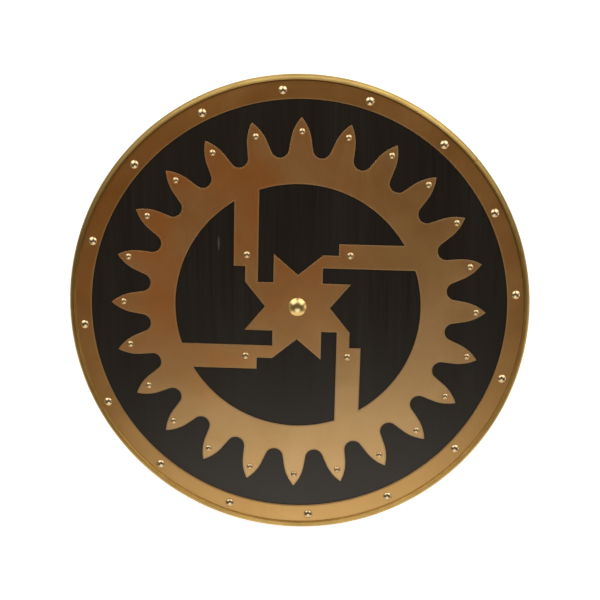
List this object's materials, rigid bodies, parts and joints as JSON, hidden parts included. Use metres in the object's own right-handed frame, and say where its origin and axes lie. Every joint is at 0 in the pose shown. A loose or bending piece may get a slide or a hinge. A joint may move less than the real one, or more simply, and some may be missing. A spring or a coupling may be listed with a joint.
{
  "type": "round shield with a brass sun wheel",
  "caption": "Round black wooden shield in a beaded brass rim, its face covered by a nailed brass sun wheel with arms, a star and a domed boss, and with two leather straps behind.",
  "frame": {"origin": "on the ground under the centre of the rim, the shield lying on its back on its two straps", "axes": "+Z out of the face, +Y towards the shield's top as it is shown, +X to its right seen from the face"},
  "size_m": [0.59, 0.59, 0.0526],
  "materials": {
    "black_wood": "black-stained wood with faint upright grain, satin to matt",
    "rim_brass": "satin brass sheet browned with age, its rolled bead polished yellow",
    "wheel_brass": "satin brown brass sheet with a thin bare cut edge",
    "polished_brass": "polished pale yellow brass",
    "leather": "plain dark brown leather"
  },
  "bodies": {
    "root": {"board": "black_wood", "rim": "rim_brass", "sun_wheel": "wheel_brass", "boss": "polished_brass", "arm_strap": "leather", "hand_strap": "leather", "rim_nail_01": "polished_brass", "rim_nail_02": "polished_brass", "rim_nail_03": "polished_brass", "rim_nail_04": "polished_brass", "rim_nail_05": "polished_brass", "rim_nail_06": "polished_brass", "rim_nail_07": "polished_brass", "rim_nail_08": "polished_brass", "rim_nail_09": "polished_brass", "rim_nail_10": "polished_brass", "rim_nail_11": "polished_brass", "rim_nail_12": "polished_brass", "rim_nail_13": "polished_brass", "rim_nail_14": "polished_brass", "rim_nail_15": "polished_brass", "rim_nail_16": "polished_brass", "ray_nail_01": "polished_brass", "ray_nail_02": "polished_brass", "ray_nail_03": "polished_brass", "ray_nail_04": "polished_brass", "ray_nail_05": "polished_brass", "ray_nail_06": "polished_brass", "ray_nail_07": "polished_brass", "ray_nail_08": "polished_brass", "ray_nail_09": "polished_brass", "ray_nail_10": "polished_brass", "ray_nail_11": "polished_brass", "ray_nail_12": "polished_brass", "ray_nail_13": "polished_brass", "ray_nail_14": "polished_brass", "ray_nail_15": "polished_brass", "ray_nail_16": "polished_brass", "ray_nail_17": "polished_brass", "ray_nail_18": "polished_brass", "ray_nail_19": "polished_brass", "ray_nail_20": "polished_brass", "ray_nail_21": "polished_brass", "ray_nail_22": "polished_brass", "ray_nail_23": "polished_brass", "ray_nail_24": "polished_brass", "strap_rivet_1": "polished_brass", "strap_rivet_2": "polished_brass", "strap_rivet_3": "polished_brass", "strap_rivet_4": "polished_brass"}
  },
  "joints": []
}
